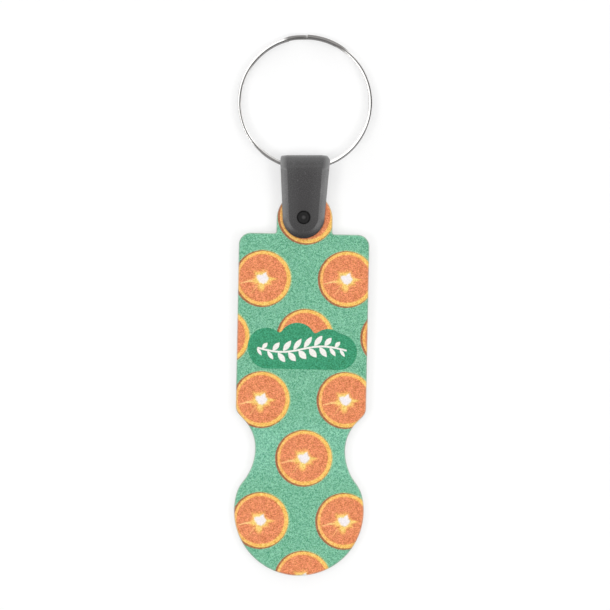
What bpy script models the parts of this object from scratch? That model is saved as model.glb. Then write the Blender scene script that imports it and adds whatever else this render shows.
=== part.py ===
"""Trolley coin keyring: a flat printed plate whose one end is coin sized, held by a folded strap with a snap
stud, on a small split ring. It lies on its back, with the coin end towards -Y and the ring towards +Y."""

import math

import bmesh
import bpy
from mathutils import Matrix, Vector

# Plate, from the coin end's centre. Its long axis is +Y.
COIN_DIAMETER = 0.0232
PLATE_THICKNESS = 0.0022
BODY_WIDTH = 0.0233
SHOULDER_Y = 0.0495
BODY_CORNER_RADIUS = 0.0021
WAIST_WIDTH = 0.0161
WAIST_Y = 0.0110
WAIST_UPPER_RADIUS = 0.0072
WAIST_CUT_DEPTH = 0.0004
RAMP_DEG = 43.0
COIN_BLEND_RADIUS = 0.0060
TAB_Y = 0.0521
TAB_RADIUS = 0.0050
TAB_FILLET_RADIUS = 0.0004
PLATE_EDGE_RADIUS = 0.00025

# Strap, from the stud's centre. Its fold is towards +Y.
STRAP_THICKNESS = 0.0007
STRAP_END_RADIUS = 0.00375
STRAP_FOLD_WIDTH = 0.0085
STRAP_REACH = 0.01115
STRAP_BEVEL_WIDTH = 0.00115
STRAP_BEVEL_DEPTH = 0.0003
STRAP_BEVEL_FADE_LENGTH = 0.0045
BEVEL_SHARE_AT_FOLD = 0.35
STRAP_FLARE_RADIUS = 0.0360
REAR_LEG_LEAN_DEG = 3.0
STUD_DIAMETER = 0.0023
STUD_NECK_DIAMETER = 0.0017
STUD_HEAD_DIAMETER = 0.0021
STUD_TIP_DIAMETER = 0.0007
STUD_HEAD_HEIGHT = 0.00026
LEG_LIP_THICKNESS = 0.00022

# Split ring: two turns of flat strip side by side.
RING_DIAMETER = 0.0240
RING_STRIP_RADIAL = 0.0006
RING_STRIP_AXIAL = 0.00085
RING_STRIP_ROUNDING = 0.00012
RING_JOG_START_DEG = 88.0
RING_JOG_SPAN_DEG = 16.0
RING_END_GAP_DEG = 0.6

# Clearances
LEG_CLEARANCE = 0.0002
STUD_PLAY = 0.00055
SNAP_CLEARANCE = 0.00007
HEAD_CLEARANCE = 0.00016
RING_CLEARANCE = 0.0001
TURN_GAP = 0.00005

# How the pieces lie: the stud off the middle of its hole, the strap turned a little, the ring near the fold
STUD_OFFSET_X = -0.00018
STUD_OFFSET_Y = 0.00030
STRAP_TURN_DEG = 1.1
RING_LIFT = 0.00025
RING_SIDE_SHIFT = 0.0002

FACET_DEG = 6.0
TURNED_FACET_DEG = 12.0
RING_FACET_DEG = 4.5
FOLD_FACET_DEG = 10.0
WELD = 1e-7

# Sizes that follow from the ones above
HALF_PLATE = PLATE_THICKNESS / 2
RING_MEAN_RADIUS = (RING_DIAMETER - RING_STRIP_RADIAL) / 2
RING_PITCH = RING_STRIP_AXIAL + TURN_GAP
RING_HALF_DEPTH = (RING_PITCH + RING_STRIP_AXIAL) / 2
LEG_INNER = HALF_PLATE + LEG_CLEARANCE
LEG_MIDDLE = LEG_INNER + STRAP_THICKNESS / 2
LEG_OUTER = LEG_INNER + STRAP_THICKNESS
STRAP_EDGE = STRAP_FOLD_WIDTH / 2 + abs(RING_SIDE_SHIFT)
RING_RISE = RING_MEAN_RADIUS - math.sqrt(RING_MEAN_RADIUS**2 - STRAP_EDGE**2)
RING_SECTION_REACH = math.hypot(RING_LIFT + RING_STRIP_RADIAL / 2 + RING_RISE, RING_HALF_DEPTH)
CHANNEL_RADIUS = max(RING_SECTION_REACH + RING_CLEARANCE, LEG_INNER)
FOLD_MIDDLE_RADIUS = CHANNEL_RADIUS + STRAP_THICKNESS / 2
FOLD_OUTER_RADIUS = CHANNEL_RADIUS + STRAP_THICKNESS
CHANNEL_Y = STRAP_REACH - FOLD_OUTER_RADIUS
STUD_X = STUD_OFFSET_X
STUD_Y = TAB_Y + STUD_OFFSET_Y
HEAD_HOLE_DIAMETER = STUD_HEAD_DIAMETER + 2 * HEAD_CLEARANCE
LIP_HOLE_DIAMETER = STUD_NECK_DIAMETER + 2 * SNAP_CLEARANCE
PLATE_HOLE_DIAMETER = STUD_DIAMETER + 2 * STUD_PLAY


def clear_scene():
    for obj in list(bpy.data.objects):
        bpy.data.objects.remove(obj, do_unlink=True)


def make_collection(name):
    collection = bpy.data.collections.new(name)
    bpy.context.scene.collection.children.link(collection)
    return collection


def make_material(name, color, roughness, metallic):
    material = bpy.data.materials.new(name)
    material.use_nodes = True
    shader = material.node_tree.nodes["Principled BSDF"]
    shader.inputs["Base Color"].default_value = (*color, 1.0)
    shader.inputs["Roughness"].default_value = roughness
    shader.inputs["Metallic"].default_value = metallic
    return material


def make_empty(name, collection, parent=None, location=(0, 0, 0), rotation=(0, 0, 0)):
    empty = bpy.data.objects.new(name, None)
    empty.parent = parent
    empty.location = location
    empty.rotation_euler = rotation
    collection.objects.link(empty)
    return empty


def arc(center, radius, start_deg, end_deg):
    """Points along an arc, both ends included."""
    steps = max(2, math.ceil(abs(end_deg - start_deg) / FACET_DEG))
    points = []
    for i in range(steps + 1):
        angle = math.radians(start_deg + (end_deg - start_deg) * i / steps)
        points.append((center[0] + radius * math.cos(angle), center[1] + radius * math.sin(angle)))
    return points


def direction_deg(start, end):
    return math.degrees(math.atan2(end[1] - start[1], end[0] - start[0]))


def without_repeats(points):
    kept = []
    for point in points:
        if not kept or math.dist(point, kept[-1]) > 10 * WELD:
            kept.append(point)
    if math.dist(kept[0], kept[-1]) <= 10 * WELD:
        kept.pop()
    return kept


def plate_outline():
    """The plate's edge, anticlockwise from the bottom of the coin end."""
    half_body = BODY_WIDTH / 2
    half_waist = WAIST_WIDTH / 2
    coin_radius = COIN_DIAMETER / 2
    upper = (half_waist + WAIST_UPPER_RADIUS, WAIST_Y)

    # The lower waist arc would cut this deep into the coin circle, if no blend arc joined the two.
    cut_radius = coin_radius - WAIST_CUT_DEPTH
    lower_radius = (half_waist**2 + WAIST_Y**2 - cut_radius**2) / (2 * (cut_radius - half_waist))
    lower = (half_waist + lower_radius, WAIST_Y)

    # The blend arc touches the coin circle from inside and the lower waist arc from outside.
    to_lower = math.hypot(*lower)
    to_blend = coin_radius - COIN_BLEND_RADIUS
    between = lower_radius + COIN_BLEND_RADIUS
    cosine = (to_blend**2 + to_lower**2 - between**2) / (2 * to_blend * to_lower)
    blend_deg = direction_deg((0, 0), lower) - math.degrees(math.acos(cosine))
    blend = (to_blend * math.cos(math.radians(blend_deg)), to_blend * math.sin(math.radians(blend_deg)))

    # The ramp leaves the upper waist arc at its own slope and runs into the body's lower corner.
    slope = math.radians(RAMP_DEG)
    ramp_start = (
        upper[0] - WAIST_UPPER_RADIUS * math.cos(slope),
        upper[1] + WAIST_UPPER_RADIUS * math.sin(slope),
    )
    corner_x = half_body - BODY_CORNER_RADIUS
    ramp_run = corner_x + BODY_CORNER_RADIUS * math.cos(slope) - ramp_start[0]
    corner_y = ramp_start[1] + ramp_run / math.tan(slope) + BODY_CORNER_RADIUS * math.sin(slope)

    half = arc((0, 0), coin_radius, -90, blend_deg)
    half += arc(blend, COIN_BLEND_RADIUS, blend_deg, direction_deg(blend, lower))
    half += arc(lower, lower_radius, direction_deg(lower, blend) + 360, 180)
    half += arc(upper, WAIST_UPPER_RADIUS, 180, 180 - RAMP_DEG)
    half += arc((corner_x, corner_y), BODY_CORNER_RADIUS, -RAMP_DEG, 0)
    half += arc((corner_x, SHOULDER_Y - BODY_CORNER_RADIUS), BODY_CORNER_RADIUS, 0, 90)
    fillet = (TAB_RADIUS + TAB_FILLET_RADIUS, SHOULDER_Y + TAB_FILLET_RADIUS)
    half += arc(fillet, TAB_FILLET_RADIUS, 270, 180)
    half += arc((0, TAB_Y), TAB_RADIUS, 0, 90)
    mirrored = [(-x, y) for x, y in reversed(half)]
    return without_repeats(half + mirrored)


def outline_prism(name, points, height):
    """A flat outline as a closed mesh from z = -height/2 to height/2, with one face on each side."""
    curve = bpy.data.curves.new(name, "CURVE")
    curve.dimensions = "2D"
    curve.fill_mode = "BOTH"
    curve.extrude = height / 2
    spline = curve.splines.new("POLY")
    spline.points.add(len(points) - 1)
    for point, (x, y) in zip(spline.points, points):
        point.co = (x, y, 0, 1)
    spline.use_cyclic_u = True
    mesh = curve_to_mesh(name, curve)
    bm = bmesh.new()
    bm.from_mesh(mesh)
    bmesh.ops.dissolve_limit(bm, angle_limit=math.radians(0.2), verts=bm.verts, edges=bm.edges)
    bmesh.ops.recalc_face_normals(bm, faces=bm.faces)
    bm.to_mesh(mesh)
    bm.free()
    return mesh


def curve_to_mesh(name, curve):
    """The curve's evaluated mesh with its caps welded on. The curve itself is removed."""
    carrier = bpy.data.objects.new(name + "_curve", curve)
    bpy.context.scene.collection.objects.link(carrier)
    depsgraph = bpy.context.evaluated_depsgraph_get()
    mesh = bpy.data.meshes.new_from_object(carrier.evaluated_get(depsgraph))
    mesh.name = name
    bpy.data.objects.remove(carrier, do_unlink=True)
    bpy.data.curves.remove(curve)
    bm = bmesh.new()
    bm.from_mesh(mesh)
    bmesh.ops.remove_doubles(bm, verts=bm.verts, dist=WELD)
    bmesh.ops.recalc_face_normals(bm, faces=bm.faces)
    bm.to_mesh(mesh)
    bm.free()
    return mesh


def add_object(name, mesh, collection, parent=None, material=None, smooth_deg=35):
    obj = bpy.data.objects.new(name, mesh)
    obj.parent = parent
    collection.objects.link(obj)
    if material:
        mesh.materials.clear()
        mesh.materials.append(material)
    mesh.shade_smooth()
    mesh.set_sharp_from_angle(angle=math.radians(smooth_deg))
    return obj


def turned_object(name, profile, collection, parent):
    """A solid of revolution about +Z from (radius, height) points listed from the bottom up."""
    mesh = bpy.data.meshes.new(name)
    bm = bmesh.new()
    steps = round(360 / TURNED_FACET_DEG)
    verts = [bm.verts.new((radius, 0, height)) for radius, height in profile]
    edges = [bm.edges.new(pair) for pair in zip(verts, verts[1:])]
    bmesh.ops.spin(
        bm, geom=verts + edges, cent=(0, 0, 0), axis=(0, 0, 1), angle=2 * math.pi, steps=steps, use_merge=True
    )
    bmesh.ops.remove_doubles(bm, verts=bm.verts, dist=WELD)
    bmesh.ops.recalc_face_normals(bm, faces=bm.faces)
    bm.to_mesh(mesh)
    bm.free()
    return add_object(name, mesh, collection, parent)


def as_cutter(obj):
    obj.hide_render = True
    obj.display_type = "WIRE"
    return obj


def add_boolean(obj, name, operation, other):
    modifier = obj.modifiers.new(name, "BOOLEAN")
    modifier.operation = operation
    modifier.solver = "EXACT"
    modifier.object = other


def cut_across(bm, y):
    """A line across every face that crosses this y, with nothing taken away."""
    everything = list(bm.verts) + list(bm.edges) + list(bm.faces)
    bmesh.ops.bisect_plane(bm, geom=everything, dist=WELD, plane_co=(0, y, 0), plane_no=(0, 1, 0))


def build_plate(collection, cutters, parent, material):
    mesh = outline_prism("coin_plate", plate_outline(), PLATE_THICKNESS)
    bm = bmesh.new()
    bm.from_mesh(mesh)
    for y in (WAIST_Y, SHOULDER_Y - BODY_CORNER_RADIUS):
        cut_across(bm, y)
    bm.to_mesh(mesh)
    bm.free()
    plate = add_object("coin_plate", mesh, collection, parent, material)
    bevel = plate.modifiers.new("edge_rounding", "BEVEL")
    bevel.width = PLATE_EDGE_RADIUS
    bevel.segments = 2
    bevel.limit_method = "ANGLE"
    bevel.angle_limit = math.radians(60)
    bevel.use_clamp_overlap = False
    radius = PLATE_HOLE_DIAMETER / 2
    through = PLATE_THICKNESS
    drill = [(0, -through), (radius, -through), (radius, through), (0, through)]
    hole = as_cutter(turned_object("plate_hole", drill, cutters, parent))
    hole.location = (0, TAB_Y, 0)
    add_boolean(plate, "stud_hole", "DIFFERENCE", hole)
    return plate


class StrapPath:
    """The strap's middle surface in side view, by the length along it.

    Length 0 is the top of the fold. It is positive on the front leg, at +Z, and negative on the rear one."""

    def __init__(self):
        across = LEG_MIDDLE + STRAP_FLARE_RADIUS
        reach = FOLD_MIDDLE_RADIUS + STRAP_FLARE_RADIUS
        self.flare_turn = math.acos(across / reach)
        self.flare_y = CHANNEL_Y - reach * math.sin(self.flare_turn)
        self.fold_length = FOLD_MIDDLE_RADIUS * (math.pi / 2 + self.flare_turn)
        self.flare_length = STRAP_FLARE_RADIUS * self.flare_turn
        self.stud_length = self.fold_length + self.flare_length + self.flare_y

    def at(self, length):
        """The point (y, z) and the outward direction (y, z) at this length."""
        side = 1 if length >= 0 else -1
        run = abs(length)
        if run <= self.fold_length:
            turn = run / FOLD_MIDDLE_RADIUS
            out = (math.cos(turn), math.sin(turn))
            point = (CHANNEL_Y + FOLD_MIDDLE_RADIUS * out[0], FOLD_MIDDLE_RADIUS * out[1])
        elif run <= self.fold_length + self.flare_length:
            turn = self.flare_turn - (run - self.fold_length) / STRAP_FLARE_RADIUS
            out = (-math.sin(turn), math.cos(turn))
            point = (
                self.flare_y - STRAP_FLARE_RADIUS * out[0],
                LEG_MIDDLE + STRAP_FLARE_RADIUS - STRAP_FLARE_RADIUS * out[1],
            )
        else:
            out = (0.0, 1.0)
            point = (self.flare_y - (run - self.fold_length - self.flare_length), LEG_MIDDLE)
        return (point[0], side * point[1]), (out[0], side * out[1])

    def stations(self):
        """Lengths where the flat strip needs a crease line to bend smoothly, from one leg to the other."""
        fold_steps = math.ceil(math.degrees(self.fold_length / FOLD_MIDDLE_RADIUS) / FOLD_FACET_DEG)
        flare_steps = math.ceil(math.degrees(self.flare_turn) / FOLD_FACET_DEG) + 1
        half = [self.fold_length * i / fold_steps for i in range(1, fold_steps + 1)]
        half += [self.fold_length + self.flare_length * i / flare_steps for i in range(1, flare_steps + 1)]
        return [-s for s in reversed(half)] + [0.0] + half


def strap_outline(path):
    """The unfolded strap, long axis +Y, tapering from the fold to a round end about each stud centre."""
    half_fold = STRAP_FOLD_WIDTH / 2
    taper = math.degrees(math.asin((half_fold - STRAP_END_RADIUS) / path.stud_length))
    front = arc((0, path.stud_length), STRAP_END_RADIUS, taper, 180 - taper)
    left = (-half_fold, 0)
    rear = arc((0, -path.stud_length), STRAP_END_RADIUS, 180 + taper, 360 - taper)
    right = (half_fold, 0)
    return without_repeats(front + [left] + rear + [right])


def rear_share(y, z):
    """How much of the rear leg's lean applies: none on the front leg, all on the rear one."""
    share = min(max(0.5 - z / (2 * FOLD_MIDDLE_RADIUS), 0.0), 1.0)
    return share * share * (3 - 2 * share) * y


def bevel_lost(length):
    """How much of the bevel's depth is missing at this length: most of it at the fold, none on the legs."""
    share = min(abs(length) / STRAP_BEVEL_FADE_LENGTH, 1.0)
    return (1 - BEVEL_SHARE_AT_FOLD) * (1 - share * share * (3 - 2 * share))


def build_strap_mesh(path):
    wall = STRAP_THICKNESS - STRAP_BEVEL_DEPTH
    mesh = outline_prism("strap", strap_outline(path), wall)
    bm = bmesh.new()
    bm.from_mesh(mesh)
    outer = max(bm.faces, key=lambda face: face.calc_center_median().z)
    bmesh.ops.inset_region(
        bm, faces=[outer], thickness=STRAP_BEVEL_WIDTH, depth=STRAP_BEVEL_DEPTH, use_even_offset=True
    )
    for length in path.stations():
        cut_across(bm, length)
    lean = math.tan(math.radians(REAR_LEG_LEAN_DEG))
    for vert in bm.verts:
        height = vert.co.z + wall / 2 - STRAP_THICKNESS / 2
        if abs(vert.co.z - wall / 2) < WELD:
            height += STRAP_BEVEL_DEPTH * bevel_lost(vert.co.y)
        (y, z), (out_y, out_z) = path.at(vert.co.y)
        shift = lean * rear_share(y, z)
        vert.co = (vert.co.x + shift, y + height * out_y, z + height * out_z)
    bmesh.ops.triangulate(bm, faces=bm.faces)
    bmesh.ops.recalc_face_normals(bm, faces=bm.faces)
    bm.to_mesh(mesh)
    bm.free()
    return mesh


def build_strap(collection, cutters, parent, material):
    """One moulded piece: two legs and a fold, a stud on the rear leg, and its snap hole in the front one."""
    strap = add_object("strap", build_strap_mesh(StrapPath()), collection, parent, material)
    lip_top = LEG_INNER + LEG_LIP_THICKNESS
    above = LEG_OUTER + STRAP_THICKNESS
    lip_radius = LIP_HOLE_DIAMETER / 2
    head_hole_radius = HEAD_HOLE_DIAMETER / 2
    hole_profile = [
        (0, LEG_INNER - STRAP_THICKNESS),
        (lip_radius, LEG_INNER - STRAP_THICKNESS),
        (lip_radius, lip_top),
        (head_hole_radius, lip_top),
        (head_hole_radius, above),
        (0, above),
    ]
    hole = as_cutter(turned_object("snap_hole", hole_profile, cutters, parent))
    add_boolean(strap, "snap_hole", "DIFFERENCE", hole)

    head_bottom = lip_top + SNAP_CLEARANCE
    head_top = head_bottom + STUD_HEAD_HEIGHT
    shank_top = LEG_INNER - SNAP_CLEARANCE
    root = -LEG_INNER - STRAP_THICKNESS / 2
    neck = STUD_NECK_DIAMETER / 2
    head = STUD_HEAD_DIAMETER / 2
    stud_profile = [
        (0, root),
        (STUD_DIAMETER / 2, root),
        (STUD_DIAMETER / 2, shank_top - SNAP_CLEARANCE),
        (neck, shank_top),
        (neck, head_bottom),
        (head, head_bottom + SNAP_CLEARANCE),
        (head, (head_bottom + head_top) / 2),
        (STUD_TIP_DIAMETER / 2, head_top),
        (0, head_top),
    ]
    stud = as_cutter(turned_object("stud_form", stud_profile, cutters, parent))
    add_boolean(strap, "stud", "UNION", stud)
    return strap


def ring_path():
    """The strip's middle line: once round at the rear, over the jog, and once round at the front."""
    jog_end = RING_JOG_START_DEG + RING_JOG_SPAN_DEG
    start = jog_end + RING_END_GAP_DEG
    end = RING_JOG_START_DEG - RING_END_GAP_DEG + 720
    steps = math.ceil((end - start) / RING_FACET_DEG)
    points = []
    for i in range(steps + 1):
        turn = start + (end - start) * i / steps
        share = min(max((turn - RING_JOG_START_DEG - 360) / RING_JOG_SPAN_DEG, 0.0), 1.0)
        share = share * share * (3 - 2 * share)
        angle = math.radians(turn)
        points.append((math.cos(angle), math.sin(angle), RING_PITCH * (share - 0.5)))
    return [(RING_MEAN_RADIUS * x, RING_MEAN_RADIUS * y, z) for x, y, z in points]


def strip_section():
    """The strip's rounded section: radial size along x, axial size along y."""
    half_radial = RING_STRIP_RADIAL / 2
    half_axial = RING_STRIP_AXIAL / 2
    section = []
    for quarter, (sx, sy) in enumerate(((1, 1), (-1, 1), (-1, -1), (1, -1))):
        center = (sx * (half_radial - RING_STRIP_ROUNDING), sy * (half_axial - RING_STRIP_ROUNDING))
        for half_step in range(3):
            angle = math.radians(90 * quarter + 45 * half_step)
            x = center[0] + RING_STRIP_ROUNDING * math.cos(angle)
            y = center[1] + RING_STRIP_ROUNDING * math.sin(angle)
            section.append((x, y))
    return section


def poly_curve(name, points, dimensions, cyclic):
    curve = bpy.data.curves.new(name, "CURVE")
    curve.dimensions = dimensions
    spline = curve.splines.new("POLY")
    spline.points.add(len(points) - 1)
    for point, co in zip(spline.points, points):
        point.co = (*co[:2], co[2] if len(co) > 2 else 0.0, 1.0)
    spline.use_cyclic_u = cyclic
    return curve


def build_ring(collection, parent, material):
    section = bpy.data.objects.new("strip_section", poly_curve("strip_section", strip_section(), "2D", True))
    section.data.fill_mode = "NONE"
    bpy.context.scene.collection.objects.link(section)
    coil = poly_curve("coil", ring_path(), "3D", False)
    coil.twist_mode = "Z_UP"
    coil.bevel_mode = "OBJECT"
    coil.bevel_object = section
    coil.use_fill_caps = True
    mesh = curve_to_mesh("split_ring", coil)
    bpy.data.objects.remove(section, do_unlink=True)
    ring = add_object("split_ring", mesh, collection, parent, material, smooth_deg=30)
    ring.location = (RING_SIDE_SHIFT, RING_LIFT + RING_MEAN_RADIUS, 0)
    return ring


def plate_tilt():
    """The plate and strap rest on the coin end's edge and on the fold, which is the thicker of the two."""
    run = STUD_Y + CHANNEL_Y * math.cos(math.radians(STRAP_TURN_DEG)) + COIN_DIAMETER / 2 - PLATE_EDGE_RADIUS
    return math.asin(FOLD_OUTER_RADIUS / math.hypot(run, HALF_PLATE)) - math.atan2(HALF_PLATE, run)


def ring_dip():
    """The ring swings down from the fold until its far side touches the surface."""
    run = RING_LIFT + 2 * RING_MEAN_RADIUS + RING_STRIP_RADIAL / 2 - RING_STRIP_ROUNDING
    return math.asin(FOLD_OUTER_RADIUS / math.hypot(run, RING_HALF_DEPTH)) - math.atan2(RING_HALF_DEPTH, run)


def world_box(objects):
    bpy.context.view_layer.update()
    depsgraph = bpy.context.evaluated_depsgraph_get()
    corners = []
    for obj in objects:
        evaluated = obj.evaluated_get(depsgraph)
        mesh = evaluated.to_mesh()
        corners += [evaluated.matrix_world @ vert.co for vert in mesh.vertices]
        evaluated.to_mesh_clear()
    low = Vector([min(co[axis] for co in corners) for axis in range(3)])
    high = Vector([max(co[axis] for co in corners) for axis in range(3)])
    return low, high


def main():
    clear_scene()
    keyring = make_collection("trolley_coin_keyring")
    cutters = make_collection("cutters")
    print_green = make_material("printed_plastic", (0.30, 0.55, 0.38), 0.45, 0.0)
    dark_plastic = make_material("soft_dark_plastic", (0.055, 0.052, 0.055), 0.5, 0.0)
    steel = make_material("ring_steel", (0.62, 0.62, 0.63), 0.25, 1.0)

    tilt = plate_tilt()
    lying = make_empty("lying", keyring, rotation=(tilt, 0, 0))
    stud_axis = make_empty(
        "stud_axis", keyring, lying, (STUD_X, STUD_Y, 0), (0, 0, math.radians(STRAP_TURN_DEG))
    )
    fold_axis = make_empty("fold_axis", keyring, stud_axis, (0, CHANNEL_Y, 0), (-tilt - ring_dip(), 0, 0))

    plate = build_plate(keyring, cutters, lying, print_green)
    strap = build_strap(keyring, cutters, stud_axis, dark_plastic)
    ring = build_ring(keyring, fold_axis, steel)

    low, high = world_box([plate, strap, ring])
    middle = (low + high) / 2
    lying.matrix_world = Matrix.Translation((-middle.x, -middle.y, -low.z)) @ lying.matrix_world


main()
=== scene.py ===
import math

import bmesh
import bpy
from mathutils import Matrix, Vector


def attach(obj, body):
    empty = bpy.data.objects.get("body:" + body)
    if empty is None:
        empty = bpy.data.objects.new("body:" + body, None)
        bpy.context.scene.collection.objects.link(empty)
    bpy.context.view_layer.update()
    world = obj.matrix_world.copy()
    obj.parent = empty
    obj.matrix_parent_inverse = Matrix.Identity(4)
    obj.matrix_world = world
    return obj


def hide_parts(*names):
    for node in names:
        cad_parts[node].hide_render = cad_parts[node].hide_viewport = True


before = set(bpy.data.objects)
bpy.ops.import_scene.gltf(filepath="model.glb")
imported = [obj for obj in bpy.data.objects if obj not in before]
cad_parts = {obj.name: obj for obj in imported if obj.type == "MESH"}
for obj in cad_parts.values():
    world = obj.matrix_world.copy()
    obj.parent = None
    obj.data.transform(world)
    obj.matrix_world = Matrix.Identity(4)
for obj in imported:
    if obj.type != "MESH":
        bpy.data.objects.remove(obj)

MM = 0.001

# Plate, from the coin end's centre
COIN_DIAMETER = 0.0232
PLATE_THICKNESS = 0.0022
BODY_WIDTH = 0.0233
SHOULDER_Y = 0.0495
BODY_CORNER_RADIUS = 0.0021
WAIST_WIDTH = 0.0161
WAIST_Y = 0.0110
WAIST_UPPER_RADIUS = 0.0072
WAIST_CUT_DEPTH = 0.0004
RAMP_DEG = 43.0
COIN_BLEND_RADIUS = 0.0060
TAB_Y = 0.0521
TAB_RADIUS = 0.0050
TAB_FILLET_RADIUS = 0.0004
PLATE_EDGE_RADIUS = 0.00038
PLATE_HOLE_DIAMETER = 0.0034
OUTLINE_STEP_DEG = 1.5
FILLET_STEP_DEG = 10
PLATE_HOLE_STEP_DEG = 5

# Strap, from the stud's centre
STRAP_THICKNESS = 0.0007
STRAP_END_RADIUS = 0.00375
STRAP_FOLD_WIDTH = 0.0085
STRAP_BEVEL_WIDTH = 0.00115
STRAP_BEVEL_DEPTH = 0.0003
STRAP_BEVEL_FADE_LENGTH = 0.0045
BEVEL_SHARE_AT_FOLD = 0.45
STRAP_FLARE_RADIUS = 0.0360
STRAP_EDGE_SOFTNESS = 0.00007
SOFTENED_EDGE_DEG = 10
FOLD_CORNER_CUT = 0.0008
FOLD_CORNER_START = 0.0101
FOLD_CORNER_END = 0.01115
REAR_LEG_LEAN_DEG = 3.0
LEG_INNER = 0.0013
CHANNEL_RADIUS = 0.0017759
CHANNEL_Y = 0.0086741
STRAP_STEP_DEG = 3.0
STUD_DIAMETER = 0.0023
STUD_NECK_DIAMETER = 0.0017
STUD_HEAD_DIAMETER = 0.0021
STUD_TIP_DIAMETER = 0.0007
HEAD_HOLE_DIAMETER = 0.00242
LIP_HOLE_DIAMETER = 0.00184
LEG_LIP_THICKNESS = 0.00022
STUD_HEAD_HEIGHT = 0.00026
STUD_SHOULDER_RADIUS = 0.00006
STUD_DOME_HEIGHT = 0.00012
STUD_DOME_INSET = 0.0002
STUD_DOME_STEPS = 8
SNAP_CLEARANCE = 0.00007
# The head hole's rounded rim, as (outwards, up) from its sharp corner, and its flare above the leg
HOLE_RIM = [(0.0, -0.00005), (0.00001, -0.00002), (0.00004, 0.0)]
HOLE_FLARE = 0.0001

# Split ring
RING_MEAN_RADIUS = 0.0117
RING_STRIP_RADIAL = 0.0006
RING_STRIP_AXIAL = 0.00085
RING_PITCH = 0.0009
RING_STEPS = 720
FULL_TURN_DEG = 360.0

# How the pieces lie
PLATE_CENTRE = (0.0003632, -0.0366955, 0.0013155)
PLATE_TILT_DEG = 1.08871
RING_DIP_DEG = 3.85673
STUD_PLACE = (-0.00018, 0.0524)
STRAP_TURN_DEG = 1.1
RING_LIFT = 0.00025
RING_SIDE_SHIFT = 0.0002

# Vertices, and outline points, that are no further apart than this are joined
MERGE_DISTANCE = 1e-7
SAME_POINT_DISTANCE = 1e-6

# Print, in millimetres from the coin end's centre: the slices' repeat, and one slice of each set of rows
REPEAT = (14.97, 21.60)
REPEAT_TURN_DEG = 0.52
MIDDLE_ROWS_PLACE = (0.68, 9.45)
SIDE_ROWS_PLACE = (7.87, 19.92)
# Outer radii of a slice's parts, in millimetres
HALO_RADIUS = 5.13
OUTER_LINE_RADIUS = 5.07
PEEL_RADIUS = 4.87
FLESH_RADIUS = 4.28
DEEP_FLESH_RADIUS = 4.0

# Badge, in millimetres: a long round-ended patch with round puffs as (x, y, radius), and a sprig on it
BADGE_LEFT = -6.2
BADGE_RIGHT = 6.6
BADGE_Y = 28.5
BADGE_HALF_HEIGHT = 3.2
BADGE_PUFFS = [(-6.4, 29.3, 3.3), (-0.9, 30.3, 3.3), (4.6, 29.7, 2.9)]
SPRIG_Y = 28.9
STEM_HALF_LENGTH = 7.8
STEM_HALF_WIDTH = 0.17
STEM_WAVE_RATE = 0.42
STEM_WAVE_HEIGHT = 0.55
LEAVES_HALF_LENGTH = 7.7
LEAF_SPACING = 1.85
LEAF_TURN_DEG = -52
LEAF_ROOT = 0.72
LEAF_MIDDLE = 1.3
LEAF_HALF_LENGTH = 1.12
LEAF_HALF_WIDTH = 0.5
# The rows of leaves, as (side of the stem, shift along it in spacings)
LEAF_ROWS = [(1, 0.0), (-1, 0.5)]

# Camera and floor
CAMERA_LENS_MM = 264.6
CAMERA_PLACE = (0.000728, 0.000068, 0.8028)
CAMERA_TURN_DEG = 1.13
FLOOR_HALF_WIDTH = 3.0
FLOOR_WHITE_SHARE = 0.5
FLOOR_WHITE_STRENGTH = 1.08
# Lamps, all aimed at the middle: name, place, size, power
LAMPS = [
    ("overhead_softbox", (0, 0, 1.2), (1.4, 1.4), 7.0),
    ("left_softbox", (-0.55, -0.2, 0.98), (0.5, 0.3), 2.2),
    ("right_softbox", (0.55, -0.2, 0.98), (0.5, 0.3), 2.2),
    ("foot_softbox", (0, -0.55, 0.98), (1.0, 0.36), 0.9),
]


def colour(red, green, blue):
    """The linear colour of a screen colour with values up to 255."""
    values = []
    for value in (red, green, blue):
        share = value / 255
        values.append(share / 12.92 if share <= 0.04045 else ((share + 0.055) / 1.055) ** 2.4)
    return (*values, 1.0)


def plate_matrix():
    """From the plate's own frame to the scene, as the next two do for the strap and the ring."""
    return Matrix.Translation(PLATE_CENTRE) @ Matrix.Rotation(math.radians(PLATE_TILT_DEG), 4, "X")


def strap_matrix():
    turn = Matrix.Rotation(math.radians(STRAP_TURN_DEG), 4, "Z")
    return plate_matrix() @ Matrix.Translation((*STUD_PLACE, 0)) @ turn


def ring_matrix():
    dip = Matrix.Rotation(math.radians(-PLATE_TILT_DEG - RING_DIP_DEG), 4, "X")
    to_fold = Matrix.Translation((0, CHANNEL_Y, 0))
    to_middle = Matrix.Translation((RING_SIDE_SHIFT, RING_LIFT + RING_MEAN_RADIUS, 0))
    return strap_matrix() @ to_fold @ dip @ to_middle


# Meshes


def arc(center, radius, start_deg, end_deg, step_deg=OUTLINE_STEP_DEG):
    """Points along an arc, both ends included."""
    steps = max(3, math.ceil(abs(end_deg - start_deg) / step_deg))
    points = []
    for i in range(steps + 1):
        angle = math.radians(start_deg + (end_deg - start_deg) * i / steps)
        points.append((center[0] + radius * math.cos(angle), center[1] + radius * math.sin(angle)))
    return points


def direction_deg(start, end):
    return math.degrees(math.atan2(end[1] - start[1], end[0] - start[0]))


def without_repeats(points):
    kept = []
    for point in points:
        if not kept or math.dist(point, kept[-1]) > SAME_POINT_DISTANCE:
            kept.append(point)
    if math.dist(kept[0], kept[-1]) <= SAME_POINT_DISTANCE:
        kept.pop()
    return kept


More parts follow.
